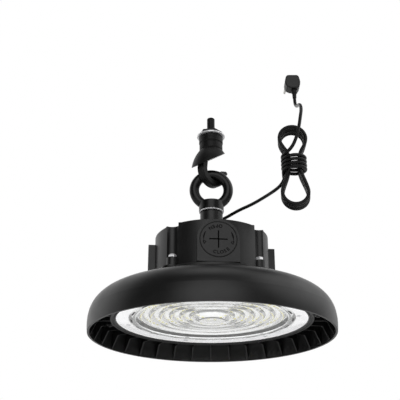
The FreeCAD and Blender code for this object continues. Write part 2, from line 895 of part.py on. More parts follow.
def at_collar_back(item, distance):
    """Points a cylinder or prism to the back, at the middle of the eye's collar."""
    item.Placement = Placement(Vector(0, 1, 0), Rotation(Vector(1, 0, 0), -90))
    item.setExpression("Placement.Base.y", text_of(distance))
    item.setExpression("Placement.Base.z", text_of(D.collar_bottom + 7.0 - D.hang_drop))


def make_eye():
    ring = primitive("Torus", "eye_ring", Radius1=D.eye_ring_radius, Radius2=D.eye_bar_radius)
    ring.Placement = Placement(Vector(), Rotation(Vector(1, 0, 0), 90))
    ring.setExpression("Placement.Base.z", text_of(D.eye_centre - D.hang_drop))
    collar = cylinder("eye_collar", D.collar_radius, D.collar_bottom,
                      D.collar_top - D.collar_bottom)
    solid = boolean("Fuse", "eye_solid", ring, collar)
    bore = cylinder("eye_bore", D.eye_stud_radius + 0.05, D.collar_bottom - 1.0, 13.0)
    threaded = boolean("Cut", "eye_threaded", solid, bore)
    side_hole = primitive("Cylinder", "set_screw_hole", Radius=2.0, Height=20.0)
    at_collar_back(side_hole, D.eye_stud_radius)
    finish(boolean("Cut", "eye_nut_body", threaded, side_hole), "eye_nut")

    finish(cylinder("eye_stud_rod", D.eye_stud_radius, D.drum_top + 6.0,
                    D.collar_bottom + 12.0 - D.drum_top - 6.0), "eye_stud")

    grub = primitive("Cylinder", "grub", Radius=1.95,
                     Height=D.collar_radius - D.eye_stud_radius - 1.0)
    at_collar_back(grub, D.eye_stud_radius + 0.1)
    key = primitive("Prism", "grub_key", Polygon=6, Circumradius=1.1, Height=3.0)
    at_collar_back(key, D.collar_radius - 3.0)
    finish(boolean("Cut", "grub_screw", grub, key), "eye_set_screw")

    disc = cylinder("lock_disc", D.collar_radius - 1.1, D.post_top,
                    D.collar_bottom - D.post_top)
    hole = cylinder("lock_hole", D.eye_stud_radius + 0.2, D.post_top - 1.0, 6.0)
    open_ring = boolean("Cut", "lock_ring", disc, hole)
    split = primitive("Box", "lock_split", Length=20.0, Width=1.6, Height=6.0)
    split.Placement = Placement(Vector(0, 0, 0), Rotation(Vector(0, 0, 1), -35))
    split.setExpression("Placement.Base.z", text_of(D.post_top - 1.0 - D.hang_drop))
    finish(boolean("Cut", "lock_washer", open_ring, split), "eye_lock_washer")


def hexagon_nut(name, corner_radius, bottom, height, bore):
    prism = primitive("Prism", name + "_prism", Polygon=6, Circumradius=corner_radius,
                      Height=height)
    prism.Placement = Placement(Vector(), Rotation(Vector(0, 0, 1), 1))
    prism.setExpression("Placement.Rotation.Angle", "Dims.nut_turn")
    prism.setExpression("Placement.Base.z", text_of(bottom))
    crown = primitive("Cone", name + "_crown", Radius1=corner_radius - 1.5,
                      Radius2=corner_radius + value_of(height) * 1.6, Height=height)
    crown.setExpression("Placement.Base.z", text_of(bottom))
    shaped = doc.addObject("Part::Common", name + "_shaped")
    shaped.Base = prism
    shaped.Tool = crown
    hole = primitive("Cylinder", name + "_hole", Radius=bore, Height=height + 2.0)
    hole.setExpression("Placement.Base.z", text_of(bottom - 1.0))
    return boolean("Cut", name + "_bored", shaped, hole)


def make_hook():
    """Forged hook: stud, two collars, a skirt cut on the slant and the hook itself."""
    nut_bottom = -D.nut_height
    finish(hexagon_nut("beam_nut", D.nut_corner_radius, nut_bottom, D.nut_height,
                       D.root_radius + 0.1), "hook_nut")
    washer_bottom = nut_bottom - D.washer_thickness
    plate = primitive("Cylinder", "washer_plate", Radius=D.washer_radius, Height=D.washer_thickness)
    plate.setExpression("Placement.Base.z", text_of(washer_bottom))
    hole = primitive("Cylinder", "washer_hole", Radius=D.root_radius + 0.2, Height=6.0)
    hole.setExpression("Placement.Base.z", text_of(washer_bottom - 1.0))
    finish(boolean("Cut", "washer_cut", plate, hole), "hook_washer")

    forging = boolean("Fuse", "hook_forging", make_shank(washer_bottom), make_bowl())
    bar = D.eye_bar_radius + D.saddle_gap
    saddle = primitive("Torus", "hook_saddle", Radius1=D.eye_ring_radius, Radius2=bar)
    saddle.Placement = Placement(Vector(), Rotation(Vector(1, 0, 0), 90))
    saddle.setExpression("Placement.Base.z", text_of(D.eye_centre - D.hang_drop))
    finish(boolean("Cut", "hook_worn", forging, saddle), "hook")


def make_shank(top):
    """The hook's turned upper part: stud, two collars and a skirt cut on the slant."""
    shank = doc.addObject("PartDesign::Body", "hook_shank")
    collars = new_sketch(shank, "XZ")
    outline(collars, [
        (0, D.stud_above_beam),
        (D.stud_radius - 1.0, D.stud_above_beam),
        (D.stud_radius, D.stud_above_beam - 1.0),
        (D.stud_radius, 0),
        (D.root_radius, 0),
        (D.root_radius, top),
        (D.collar_wide - 1.0, top),
        (D.collar_wide, top - 1.0),
        (D.collar_wide, top - 11.5),
        (D.collar_wide - 1.2, top - 12.7),
        (D.collar_wide - 1.2, top - 14.0),
        (D.collar_wide - 0.6, top - 14.6),
        (D.collar_wide - 0.6, top - 23.0),
        (D.collar_wide - 1.3, top - 24.0, 60.0, -1),
        (D.skirt_radius, top - 58.0),
        (0, top - 58.0),
    ])
    revolve(shank, collars)

    # the skirt's slanted end is lowest over the hook's back
    slant = new_sketch(shank, "XZ")
    reach = 60.0
    rise = reach * math.tan(math.radians(SIZES["skirt_slant"]))
    outline(slant, [
        (-reach, D.skirt_level - rise),
        (reach, D.skirt_level + rise),
        (reach, -150.0),
        (-reach, -150.0),
    ])
    under = shank.newObject("PartDesign::Pocket", "slanted_end")
    under.Profile = slant
    under.SideType = "Symmetric"
    under.Length = 2 * reach
    doc.recompute()
    turn_with_hook(shank)
    return shank


def make_bowl():
    """The hook's bent bar: a flat forging with bevelled edges."""
    bowl = doc.addObject("PartDesign::Body", "hook_bowl")
    bar = new_sketch(bowl, "XZ")

    def on_bowl(radius, bottom, degrees):
        x, rise = at_angle(radius.value, degrees)
        return D.bowl_centre + x, bottom + radius + rise

    outline(bar, [
        (-9.4, -38.0),
        (-20.9, -38.0),
        on_bowl(D.hook_outer, D.hook_bottom, 172.0) + (D.hook_outer, 1),
        (D.bowl_centre, D.hook_bottom, D.hook_outer, 1),
        on_bowl(D.hook_outer, D.hook_bottom, -10.0) + (8.0, -1),
        (27.56, -67.8),
        (31.63, -62.73),
        (28.0, -59.4),
        (18.65, -61.9, 6.0, 1),
        on_bowl(D.hook_inner, D.hook_rest, 0.0) + (D.hook_inner, -1),
        (D.bowl_centre, D.hook_rest, D.hook_inner, -1),
        on_bowl(D.hook_inner, D.hook_rest, 173.6),
    ])
    pad(bowl, bar, D.hook_thickness, midplane=True)
    half = D.hook_thickness.value / 2
    soften(bowl, lambda p, edge: abs(abs(p.y) - half) < 0.01, D.hook_bevel, "Chamfer")
    turn_with_hook(bowl)
    return bowl


def turn_with_hook(body):
    body.Placement = Placement(Vector(), Rotation(Vector(0, 0, 1), 1))
    body.setExpression("Placement.Rotation.Angle", "Dims.hook_turn")


# --------------------------------------------------------------- cord and plug

LOWER_ROUTE = [
    (-5.0, 49.8, -164.0), (-5.0, 49.8, -146.0), (4.5, 46.5, -133.5), (21.0, 41.5, -128.0),
    (42.0, 26.5, -120.5), (62.0, 6.5, -119.0), (80.0, -22.0, -118.6), (93.0, -53.0, -121.2),
    (99.8, -68.5, -120.0), (103.4, -76.6, -114.1), (104.8, -80.3, -104.4),
]
UPPER_ROUTE = [
    (107.2, -87.0, -77.7), (115.0, -92.0, -70.8), (120.8, -94.5, -58.0),
    (125.2, -94.5, -41.7), (128.9, -90.0, -20.8), (131.6, -84.0, -6.8),
    (132.9, -72.0, 8.6), (133.0, -50.0, 22.2), (133.2, -31.5, 29.8),
    (132.2, -22.9, 36.3), (131.6, -19.0, 44.0), (131.6, -19.0, 52.0),
]


def cord_tube(name, route):
    """A round cord along straight runs joined by tangent arcs."""
    points = [Vector(*point) for point in route]
    edges = []
    radii = []
    start = points[0]
    for before, here, after in zip(points, points[1:], points[2:]):
        run_in, run_out = here - before, after - here
        turn = run_in.getAngle(run_out)
        radius = 0.45 * min(run_in.Length, run_out.Length) / math.tan(turn / 2)
        tangent = 0.45 * min(run_in.Length, run_out.Length)
        unit_in, unit_out = Vector(run_in).normalize(), Vector(run_out).normalize()
        enter, leave = here - unit_in * tangent, here + unit_out * tangent
        bisector = (unit_out - unit_in).normalize()
        reach = radius / math.cos(turn / 2) - radius
        edges.append(Part.LineSegment(start, enter).toShape())
        edges.append(Part.Arc(enter, here + bisector * reach, leave).toShape())
        start = leave
        radii.append(radius)
    edges.append(Part.LineSegment(start, points[-1]).toShape())
    spine = Part.Wire(edges)
    thickness = SIZES["cord_radius"]
    section = Part.Wire(Part.makeCircle(thickness, points[0], points[1] - points[0]))
    tube = doc.addObject("Part::Feature", name)
    tube.Label = name
    tube.Shape = spine.makePipeShell([section], True, False)
    sub_parts.append(tube)
    expected = math.pi * thickness ** 2 * spine.Length
    print("%s: length %.1f, volume ratio %.4f" % (name, spine.Length, tube.Shape.Volume / expected))
    print("  radii " + " ".join("%.1f" % radius for radius in radii))


HANK_X, HANK_Y = 118.0, -75.0
WRAP_BOTTOM, WRAP_TOP = -104.4, -77.7
WRAP_WIDTH, WRAP_DEPTH = 37.0, 36.0
BAND_THICKNESS, BAND_DEPTH = 5.0, 25.0


def loop_band(middle, centre, reach, direction):
    """A teardrop band of cord: a half ring of five strands, and two legs to the wraps."""
    foot = WRAP_TOP - 4.0 if direction > 0 else WRAP_BOTTOM + 4.0
    shapes = []
    for radius, leg in ((reach, 11.0), (reach - BAND_THICKNESS, 11.0 - 1.1 * BAND_THICKNESS)):
        left = Vector(middle - radius, HANK_Y, centre)
        right = Vector(middle + radius, HANK_Y, centre)
        tip = Vector(middle, HANK_Y, centre + radius * direction)
        right_foot = Vector(HANK_X + leg, HANK_Y, foot)
        left_foot = Vector(HANK_X - leg, HANK_Y, foot)
        edges = [
            Part.Arc(left, tip, right).toShape(),
            Part.LineSegment(right, right_foot).toShape(),
            Part.LineSegment(right_foot, left_foot).toShape(),
            Part.LineSegment(left_foot, left).toShape(),
        ]
        face = Part.Face(Part.Wire(edges))
        face.translate(Vector(0, -BAND_DEPTH / 2, 0))
        shapes.append(face.extrude(Vector(0, BAND_DEPTH, 0)))
    return shapes[0].cut(shapes[1])


def make_hank():
    """The tied hank: two teardrop loops and the wraps round their legs."""
    corner = Vector(HANK_X - WRAP_WIDTH / 2, HANK_Y - WRAP_DEPTH / 2, WRAP_BOTTOM)
    block = Part.makeBox(WRAP_WIDTH, WRAP_DEPTH, WRAP_TOP - WRAP_BOTTOM, corner)
    upright = [edge for edge in block.Edges
               if abs(edge.tangentAt(edge.FirstParameter).z) > 0.9]
    block = block.makeFillet(8.0, upright)
    top_loop = loop_band(HANK_X - 1.3, -54.0, 21.0, 1)
    bottom_loop = loop_band(HANK_X, -137.1, 21.0, -1)
    item = doc.addObject("Part::Feature", "cord_hank")
    item.Label = "cord_hank"
    item.Shape = block.fuse([top_loop, bottom_loop]).removeSplitter()
    sub_parts.append(item)


PLUG_X, PLUG_Z = 129.0, 78.0
NECK_X, NECK_Y = 131.6, -19.0


def make_plug():
    """Moulded right-angle plug with two round pins side by side."""
    body = new_body("plug_body")
    sketch = new_sketch(body, "XZ", -D.plug_face)
    half = D.plug_width / 2
    outline(sketch, [
        (-4.0, -12.0),
        (half - 4.6, -12.0),
        (half - 1.9, -9.0),
        (half - 0.5, -5.0),
        (half, 0),
        (half - 0.6, 4.0),
        (half - 1.6, 8.0, 5.0, 1),
        (half - 6.0, 12.0),
        (-(half - 6.0), 12.0, 5.0, 1),
        (-(half - 1.6), 8.0),
        (-(half - 0.6), 4.0),
        (-half, 0),
        (-(half - 0.6), -5.0),
        (-(half - 2.6), -9.0),
    ])
    pad(body, sketch, D.plug_depth)
    front = -(D.plug_depth.value - D.plug_face.value)
    soften(body, lambda p, edge: p.y < front + 0.01, 2.5)
    body.Placement = Placement(Vector(PLUG_X, 0, PLUG_Z), Rotation())

    pins = new_body("plug_pins")
    pin_sketch = new_sketch(pins, "XZ", -D.plug_face)
    for side in (-1, 1):
        circle(pin_sketch, D.pin_spacing / 2 * side, 0, D.pin_radius)
    pad(pins, pin_sketch, D.pin_length, back=True)
    pins.Placement = Placement(Vector(PLUG_X, 0, PLUG_Z), Rotation())

    relief = new_body("plug_relief")
    taper = new_sketch(relief, "XZ")
    outline(taper, [
        (0, -12.0), (4.7, -12.0), (4.5, -17.0), (3.3, -19.0), (3.1, -26.0), (0, -26.0),
    ])
    revolve(relief, taper)
    relief.Placement = Placement(Vector(NECK_X, NECK_Y, PLUG_Z), Rotation())


# --------------------------------------------------------------- build and write

def check_and_write():
    doc.recompute()
    for item in doc.Objects:
        if "Invalid" in item.State or "Error" in item.State:
            raise RuntimeError("%s failed: %s" % (item.Label, item.State))
    os.makedirs("parts", exist_ok=True)
    for item in sub_parts:
        shape = item.Shape
        if shape.isNull() or not shape.isValid():
            raise RuntimeError("%s has no valid shape" % item.Label)
        print("%-20s solids %3d volume %.0f" % (item.Label, len(shape.Solids), shape.Volume))
        shape.exportStep("parts/%s.step" % item.Label)


make_sheet()
make_heat_sink()
make_driver_housing()
make_port()
make_housing_fittings()
make_gland()
make_driver()
make_light_engine()
make_eye()
make_hook()
cord_tube("power_cord_lower", LOWER_ROUTE)
cord_tube("power_cord_upper", UPPER_ROUTE)
make_hank()
make_plug()
check_and_write()
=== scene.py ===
"""Looks of a high bay light that hangs from a hook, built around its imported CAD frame.

Sizes and places are in millimetres, and MM turns them into Blender's metres.
"""
import math

import bpy
import bmesh
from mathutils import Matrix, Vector


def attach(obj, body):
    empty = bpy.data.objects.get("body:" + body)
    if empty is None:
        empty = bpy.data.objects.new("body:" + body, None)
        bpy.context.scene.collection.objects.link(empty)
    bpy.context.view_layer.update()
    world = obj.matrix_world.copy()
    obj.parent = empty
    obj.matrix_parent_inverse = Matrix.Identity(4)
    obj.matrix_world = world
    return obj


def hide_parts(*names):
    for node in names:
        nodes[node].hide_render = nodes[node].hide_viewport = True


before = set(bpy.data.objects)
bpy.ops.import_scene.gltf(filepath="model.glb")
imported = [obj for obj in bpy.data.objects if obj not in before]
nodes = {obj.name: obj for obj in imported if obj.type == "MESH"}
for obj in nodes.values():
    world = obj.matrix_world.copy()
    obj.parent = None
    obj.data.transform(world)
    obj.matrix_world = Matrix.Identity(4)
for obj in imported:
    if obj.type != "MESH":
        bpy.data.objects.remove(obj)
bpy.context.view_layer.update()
MM = 0.001


# ------------------------------------------------------------------ camera

CAMERA_PLACE = (-17.1, -1109.7, -596.1)
CAMERA_PITCH = 23.46     # degrees above level
HALF_VIEW = 0.25         # half the picture's width for each unit of distance


def make_camera():
    data = bpy.data.cameras.new("camera")
    data.lens = 50.0
    data.sensor_width = 2 * HALF_VIEW * data.lens
    data.clip_start = 0.01
    camera = bpy.data.objects.new("camera", data)
    camera.location = Vector(CAMERA_PLACE) * MM
    camera.rotation_euler = (math.radians(90 + CAMERA_PITCH), 0, 0)
    bpy.context.scene.collection.objects.link(camera)
    bpy.context.scene.camera = camera


make_camera()


# ------------------------------------------------------------------ cord

CORD_DIAMETER = 0.005    # metres
LOWER_ROUTE = [
    (-5.0, 49.8, -164.0), (-5.0, 49.8, -146.0), (4.5, 46.5, -133.5), (21.0, 41.5, -128.0),
    (42.0, 26.5, -120.5), (62.0, 6.5, -119.0), (80.0, -22.0, -118.6), (93.0, -53.0, -121.2),
    (99.8, -68.5, -120.0), (103.4, -76.6, -114.1),
]
UPPER_ROUTE = [
    (107.2, -87.0, -77.7), (115.0, -92.0, -70.8), (120.8, -94.5, -58.0),
    (125.2, -94.5, -41.7), (128.9, -90.0, -20.8), (131.6, -84.0, -6.8),
    (132.9, -72.0, 8.6), (133.0, -50.0, 22.2), (133.2, -31.5, 29.8),
    (132.2, -22.9, 36.3), (131.6, -19.0, 44.0), (131.6, -19.0, 52.0),
]
HANK_X, HANK_Y = 118.0, -75.0
STRANDS = 5
STRAND_PITCH = 4.9       # from one strand to the one behind it
STRAND_LEAN = 0.28       # how far right of it that one stands
LEG = 7.0                # from the hank's middle to each leg
LOOP_RADIUS = 18.5
LOOP_SWEEP = 230         # degrees
LOOP_POINTS = 8
TOP_LOOP, BOTTOM_LOOP = -54.0, -137.1
TOP_SHIFT, BOTTOM_SHIFT = -1.0, 0.5
BOTTOM_STEP = 2.4        # how far a bottom loop lies behind the strand that it ends
LOOP_UNEVEN = 0.5        # how far the loops' heights differ
RISE_TO_WRAPS = [(103.4, -62.0, -119.5), (104.4, -63.2, -110.5), (103.0, -69.6, -105.0)]
WRAP_TURNS = 4
WRAP_POINTS = 12         # for each turn
WRAP_START = 195         # degrees round the hank
WRAP_WIDE, WRAP_DEEP = 16.2, 16.4
WRAP_BOTTOM, WRAP_TOP = -102.8, -79.2


def loop_points(middle, centre, depth, radius, over):
    """One strand's part ring: over the top from left to right, or under the bottom and back."""
    step = LOOP_SWEEP / (LOOP_POINTS - 1)
    reach = radius / math.cos(math.radians(step / 2))
    start = (180 + LOOP_SWEEP) / 2 if over else (540 + LOOP_SWEEP) / 2
    points = []
    for number in range(LOOP_POINTS):
        angle = math.radians(start - step * number)
        points.append((middle + reach * math.cos(angle), HANK_Y + depth, centre + reach * math.sin(angle)))
    return points


def strand_points(strand):
    """Up a strand's left leg, over the top, down its right leg and under towards the next one's left leg."""
    place = strand - (STRANDS - 1) / 2
    depth = STRAND_PITCH * place
    lean = STRAND_LEAN * place
    uneven = LOOP_UNEVEN * math.sin(2.4 * strand)
    left, right, across = HANK_X - LEG + lean, HANK_X + LEG + lean, HANK_Y + depth
    points = [(left, across, WRAP_BOTTOM), (left, across, WRAP_TOP)]
    points += loop_points(HANK_X + TOP_SHIFT + lean, TOP_LOOP + uneven, depth, LOOP_RADIUS - lean, True)
    points += [(right, across, WRAP_TOP), (right, across, WRAP_BOTTOM)]
    points += loop_points(HANK_X + BOTTOM_SHIFT + 2 * lean, BOTTOM_LOOP - uneven,
                          depth + BOTTOM_STEP, LOOP_RADIUS, False)
    return points


def wrap_points():
    """The turns round the strands' legs."""
    total = WRAP_TURNS * WRAP_POINTS
    stretch = 1 / math.cos(math.pi / WRAP_POINTS)
    points = []
    for number in range(total + 1):
        angle = math.radians(WRAP_START + 360 * number / WRAP_POINTS)
        points.append((HANK_X + WRAP_WIDE * stretch * math.cos(angle),
                       HANK_Y + WRAP_DEEP * stretch * math.sin(angle),
                       WRAP_BOTTOM + (WRAP_TOP - WRAP_BOTTOM) * number / total))
    return points


def hank_points():
    """The looped strands from front to back, then the wraps that tie their legs."""
    points = []
    for strand in range(STRANDS):
        points += strand_points(strand)
    return points + RISE_TO_WRAPS + wrap_points()


def curve_mesh(curve):
    """The mesh of a curve object as it stands."""
    bpy.context.view_layer.update()
    graph = bpy.context.evaluated_depsgraph_get()
    return bpy.data.meshes.new_from_object(curve.evaluated_get(graph))


def make_cord(name, route):
    """The cord as a round tube, and the points of its centre line."""
    data = bpy.data.curves.new(name + "_line", "CURVE")
    data.dimensions = "3D"
    spline = data.splines.new("NURBS")
    spline.points.add(len(route) - 1)
    for point, place in zip(spline.points, route):
        point.co = (place[0] * MM, place[1] * MM, place[2] * MM, 1)
    spline.order_u = 3
    spline.use_endpoint_u = True
    data.resolution_u = 8
    line = bpy.data.objects.new(name + "_line", data)
    bpy.context.scene.collection.objects.link(line)
    path = [tuple(vertex.co) for vertex in curve_mesh(line).vertices]
    data.bevel_depth = CORD_DIAMETER / 2
    data.bevel_resolution = 5
    data.use_fill_caps = True
    tube = curve_mesh(line)
    tube.name = name
    tube.polygons.foreach_set("use_smooth", [True] * len(tube.polygons))
    bpy.data.objects.remove(line)
    cord = bpy.data.objects.new(name, tube)
    bpy.context.scene.collection.objects.link(cord)
    return cord, path


mains_cord, cord_path = make_cord("mains_cord", LOWER_ROUTE + hank_points() + UPPER_ROUTE)
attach(mains_cord, "fixture")
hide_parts("power_cord_lower", "cord_hank", "power_cord_upper")


# ------------------------------------------------------------------ small pieces

RIM_LEVEL = -323.0       # the plane of the bell's rim
HOUSING_TURN = 5.7       # degrees that the drum is turned about the hanging axis
SCREW_ANGLES = (-42.0, -138.0, 42.0, 138.0)
SCREW_CIRCLE = 82.0
CHANNEL_FLOOR = 94.0
WASHER_TEETH = 26
STEPS_IN_TOOTH = 4
LENS_SLOTS = 18
FIRST_SLOT = 18.0        # degrees
SLOT_HALF_ANGLE = 4.4    # degrees
SLOT_RADII = (113.5, 116.1)
SLOT_LEVEL = 22.1


def around_axis(radius, degrees, height):
    """A place about the hanging axis, with its height above the rim's plane, in metres."""
    angle = math.radians(degrees)
    return Vector((radius * math.cos(angle), radius * math.sin(angle), height + RIM_LEVEL)) * MM


def add_piece(name, mesh, body="fixture", replaced=()):
    piece = bpy.data.objects.new(name, mesh)
    bpy.context.scene.collection.objects.link(piece)
    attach(piece, body)
    if replaced:
        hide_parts(*replaced)
    return piece


def finish_mesh(name, build, smooth_angle=35.0):
    """A mesh from a bmesh, smooth except at edges sharper than the angle."""
    bmesh.ops.recalc_face_normals(build, faces=build.faces[:])
    mesh = bpy.data.meshes.new(name)
    build.to_mesh(mesh)
    build.free()
    mesh.polygons.foreach_set("use_smooth", [True] * len(mesh.polygons))
    mesh.set_sharp_from_angle(angle=math.radians(smooth_angle))
    return mesh


def turned(build, profile, centre, sides=32, material=0, phase=0.0, share=None):
    """Turns a profile of (radius, height) about a vertical axis through centre.

    share gives the part of the radius that each numbered side keeps.
    """
    loops = []
    for radius, height in profile:
        loop = []
        for number in range(sides):
            angle = phase + 2 * math.pi * number / sides
            reach = radius * share(number) if share else radius
            offset = Vector((reach * math.cos(angle), reach * math.sin(angle), height)) * MM
            loop.append(build.verts.new(centre + offset))
        loops.append(loop)
    for lower, upper in zip(loops, loops[1:]):
        for number in range(sides):
            after = (number + 1) % sides
            face = build.faces.new((lower[number], lower[after], upper[after], upper[number]))
            face.material_index = material
    for end in (loops[0], loops[-1]):
        build.faces.new(end).material_index = material


def make_housing_screws():
    """Screws at the feet of the drum's channels, each a flange, a hexagon and a low crown."""
    build = bmesh.new()
    for angle in SCREW_ANGLES:
        seat = around_axis(SCREW_CIRCLE, angle + HOUSING_TURN, CHANNEL_FLOOR)
        turned(build, [(6.4, 0.02), (6.4, 0.9), (5.9, 1.3)], seat)
        turned(build, [(5.7, 1.25), (5.7, 4.3), (5.0, 5.3)], seat, sides=6, phase=math.radians(angle + 12))
        turned(build, [(4.4, 5.25), (2.8, 5.9), (0.5, 6.1)], seat, sides=24)
    return add_piece("hexagon_screws", finish_mesh("hexagon_screws", build), replaced=("housing_screws",))


def tooth(number):
    """The last step of each tooth is its notch."""
    return 0.95 if number % STEPS_IN_TOOTH == STEPS_IN_TOOTH - 1 else 1.0


def make_lock_washer():
    """A toothed lock washer over a black spacer, under the eye's collar."""
    build = bmesh.new()
    middle = Vector((0, 0, RIM_LEVEL * MM))
    turned(build, [(18.2, 187.3), (18.4, 187.6), (18.4, 188.9)], middle,
           sides=WASHER_TEETH * STEPS_IN_TOOTH, share=tooth)
    turned(build, [(16.8, 186.05), (16.8, 187.3)], middle, sides=64, material=1)
    return add_piece("toothed_washer", finish_mesh("toothed_washer", build), replaced=("eye_lock_washer",))


def make_painted_slot_shade():
    """Painted shade: dark grey sheets at the bottoms of the lens flange's slots, where shade falls."""
    build = bmesh.new()
    steps = 6
    for slot in range(LENS_SLOTS):
        middle = FIRST_SLOT + 360 * slot / LENS_SLOTS
        rows = []
        for step in range(steps + 1):
            angle = middle + SLOT_HALF_ANGLE * (2 * step / steps - 1)
            rows.append([build.verts.new(around_axis(radius, angle, SLOT_LEVEL)) for radius in SLOT_RADII])
        for before, after in zip(rows, rows[1:]):
            build.faces.new((before[0], before[1], after[1], after[0]))
    return add_piece("painted_slot_shade", finish_mesh("painted_slot_shade", build))


# ------------------------------------------------------------------ cap marks

CAP_FACE = 83.8          # from the hanging axis
CAP_HEIGHT = 114.2       # above the rim's plane
WORD_RADIUS = 19.0
LETTER_SIZE = 6.6
LETTER_STEP = 14.5       # degrees from one letter to the next
WORD_TURN = 13           # degrees that each word stands off the vertical
ARROW_RADIUS = 20.6
OUTLINE_RADII = (25.4, 24.95)
SLOT_ARM = (12.6, 0.85)  # half the length and half the width of the cross slot's arms


def on_cap(right, up, out):
    """A place on the cap in metres: right, up and out from the middle of its face."""
    turn = math.radians(HOUSING_TURN)
    across = Vector((math.cos(turn), math.sin(turn), 0))
    outward = Vector((math.sin(turn), -math.cos(turn), 0))
    centre = outward * CAP_FACE + Vector((0, 0, CAP_HEIGHT + RIM_LEVEL))
    return (centre + across * right + Vector((0, 0, up)) + outward * out) * MM


def raised(build, outline, base=-0.05, top=0.12):
    """A flat mark on the cap, with straight sides round its outline."""
    bottom = [build.verts.new(on_cap(x, y, base)) for x, y in outline]
    cover = [build.verts.new(on_cap(x, y, top)) for x, y in outline]
    build.faces.new(cover)
    for number in range(len(outline)):
        after = (number + 1) % len(outline)
        build.faces.new((bottom[number], bottom[after], cover[after], cover[number]))


def letter_mesh(letter):
    data = bpy.data.curves.new("letter", "FONT")
    data.body = letter
    data.size = LETTER_SIZE
    data.align_x = "CENTER"
    data.offset = 0.025 * LETTER_SIZE
    data.resolution_u = 4
    shape = bpy.data.objects.new("letter", data)
    bpy.context.scene.collection.objects.link(shape)
    mesh = curve_mesh(shape)
    bpy.data.objects.remove(shape)
    return mesh


def add_word(build, word, middle):
    """Letters round the cap with their feet outward; middle is in degrees from the bottom, to the right."""
    feet = WORD_RADIUS + LETTER_SIZE * 0.36
    for number, letter in enumerate(word):
        angle = math.radians(middle + LETTER_STEP * (number - (len(word) - 1) / 2))
        mesh = letter_mesh(letter)
        places = []
        for vertex in mesh.vertices:
            x, y = vertex.co.x, vertex.co.y - feet
            right = x * math.cos(angle) - y * math.sin(angle)
            up = x * math.sin(angle) + y * math.cos(angle)
            places.append(build.verts.new(on_cap(right, up, 0.1)))
        for polygon in mesh.polygons:
            build.faces.new([places[index] for index in polygon.vertices])
        bpy.data.meshes.remove(mesh)


def add_crescent(build, side):
    """An arrow's shaft, which thickens downward."""
    outer, inner = [], []
    steps = 14
    for step in range(steps + 1):
        share = step / steps
        angle = math.radians(33 - 42 * share)
        half = 0.25 + 0.65 * math.sin(math.pi * min(share * 1.15, 1.0)) ** 1.2
        for edge, radius in ((outer, ARROW_RADIUS + half), (inner, ARROW_RADIUS - half)):
            edge.append((side * radius * math.cos(angle), radius * math.sin(angle)))
    raised(build, outer + inner[::-1])


def add_arrow_head(build, side):
    """An open triangle at the foot of an arrow's shaft."""
    half_line = 0.42
    foot = math.radians(-13)
    x, y = side * 20.0 * math.cos(foot), 20.0 * math.sin(foot)
    corners = [(x - side * 2.4, y + 0.6), (x + side * 1.9, y + 1.3), (x + side * 0.2, y - 2.9)]
    for start, end in zip(corners, corners[1:] + corners[:1]):
        start, end = Vector(start), Vector(end)
        run = end - start
        across = Vector((-run.y, run.x)).normalized() * half_line
        line = (start + across, end + across, end - across, start - across)
        raised(build, [tuple(corner) for corner in line])


def add_outline(build):
    """A thin ring near the cap's edge."""
    outer, inner = OUTLINE_RADII
    steps = 72
    for number in range(steps):
        first, last = 2 * math.pi * number / steps, 2 * math.pi * (number + 1) / steps
        corners = ((outer, first), (outer, last), (inner, last), (inner, first))
        raised(build, [(radius * math.cos(angle), radius * math.sin(angle)) for radius, angle in corners])


def make_cap_marks():
    build = bmesh.new()
    add_word(build, "OPEN", 180 + WORD_TURN)
    add_word(build, "CLOSE", WORD_TURN)
    for side in (-1, 1):
        add_crescent(build, side)
        add_arrow_head(build, side)
    # Painted shade: near black bars sunk at the bottom of the cap's cross slot darken it.
    for x, y in (SLOT_ARM, SLOT_ARM[::-1]):
        raised(build, [(-x, -y), (x, -y), (x, y), (-x, y)], base=-2.0, top=-1.1)
    add_outline(build)
    mesh = bpy.data.meshes.new("cap_marks")
    build.to_mesh(mesh)
    build.free()
    return add_piece("cap_marks", mesh, body="cap")


hexagon_screws = make_housing_screws()
toothed_washer = make_lock_washer()
painted_slot_shade = make_painted_slot_shade()
cap_marks = make_cap_marks()


# ------------------------------------------------------------------ materials

def new_material(name, colour, roughness, metallic=0.0, specular=0.5):
    material = bpy.data.materials.new(name)
    material.use_nodes = True
    shader = material.node_tree.nodes["Principled BSDF"]
    shader.inputs["Base Color"].default_value = (*colour, 1)
    shader.inputs["Roughness"].default_value = roughness
    shader.inputs["Metallic"].default_value = metallic
    shader.inputs["Specular IOR Level"].default_value = specular
    return material, shader


def add_node(material, kind):
    return material.node_tree.nodes.new(kind)


def link(material, source, target):
    material.node_tree.links.new(source, target)


def noise(material, scale, detail=2.0):
    coordinates = add_node(material, "ShaderNodeTexCoord")
    texture = add_node(material, "ShaderNodeTexNoise")
    texture.inputs["Scale"].default_value = scale
    texture.inputs["Detail"].default_value = detail
    link(material, coordinates.outputs["Object"], texture.inputs["Vector"])
    return texture


def spread(material, texture, low, high, target):
    """Drives a socket from one colour to another by a texture."""
    ramp = add_node(material, "ShaderNodeValToRGB")
    for element, position, colour in zip(ramp.color_ramp.elements, (0.3, 0.7), (low, high)):
        element.position = position
        element.color = (*colour, 1)
    link(material, texture.outputs["Fac"], ramp.inputs["Fac"])
    link(material, ramp.outputs["Color"], target)


def bump(material, shader, texture, strength, distance):
    relief = add_node(material, "ShaderNodeBump")
    relief.inputs["Strength"].default_value = strength
    relief.inputs["Distance"].default_value = distance
    link(material, texture.outputs["Fac"], relief.inputs["Height"])
    link(material, relief.outputs["Normal"], shader.inputs["Normal"])


def powder_coat(name, low, high, roughness, grain=1600.0, specular=0.5):
    """Coated metal with a fine orange peel and slightly uneven gloss."""
    material, shader = new_material(name, low, roughness, specular=specular)
    spread(material, noise(material, 14.0, 4.0), low, high, shader.inputs["Base Color"])
    spread(material, noise(material, 40.0, 3.0), (roughness - 0.03,) * 3, (roughness + 0.04,) * 3,
           shader.inputs["Roughness"])
    bump(material, shader, noise(material, grain), 0.12, 0.0002)
    return material


